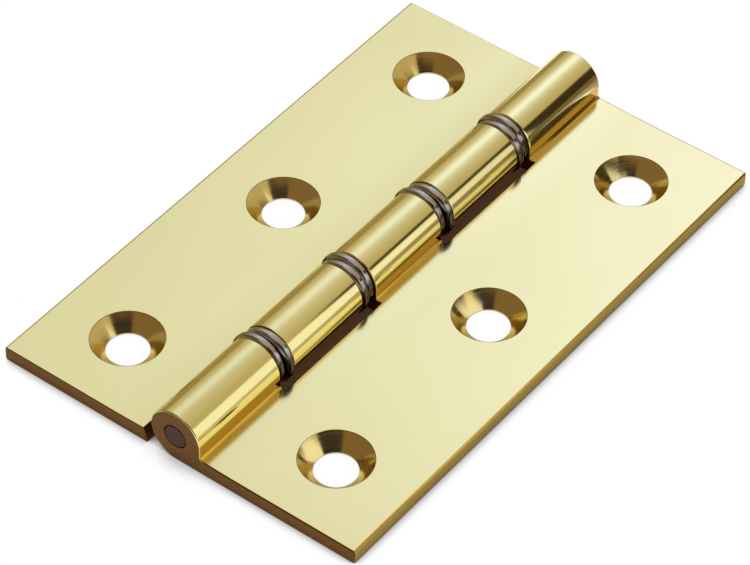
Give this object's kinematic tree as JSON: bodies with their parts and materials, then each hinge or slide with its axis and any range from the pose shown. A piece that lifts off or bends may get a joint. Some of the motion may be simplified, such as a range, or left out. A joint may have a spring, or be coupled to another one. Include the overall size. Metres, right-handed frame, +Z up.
{
  "type": "butt hinge",
  "caption": "Polished brass butt hinge with a steel pin and steel washers between its knuckles; countersunk leaves screw to a door and its frame.",
  "frame": {"origin": "on the plane of the leaf backs, under the middle of the pin", "axes": "+X across the leaves from the left leaf to the right leaf, +Y along the pin, +Z up from the leaf backs"},
  "size_m": [0.05, 0.076, 0.0072],
  "materials": {
    "brass": "polished and lacquered, with duller sawn ends",
    "washer_steel": "plain dark steel with tumbled rims",
    "pin_steel": "plain dark steel, ends filed flush"
  },
  "bodies": {
    "right": {"right_leaf": "brass", "hinge_pin": "pin_steel", "washer_1_right": "washer_steel", "washer_2_right": "washer_steel", "washer_3_right": "washer_steel", "washer_4_right": "washer_steel"},
    "left": {"left_leaf": "brass", "washer_1_left": "washer_steel", "washer_2_left": "washer_steel", "washer_3_left": "washer_steel", "washer_4_left": "washer_steel"}
  },
  "joints": [
    {"name": "leaf_swing", "type": "hinge", "parent": "right", "child": "left", "pos_m": [0, 0, 0.0036], "axis": [0, 1, 0], "range_deg": [-95, 186]}
  ]
}
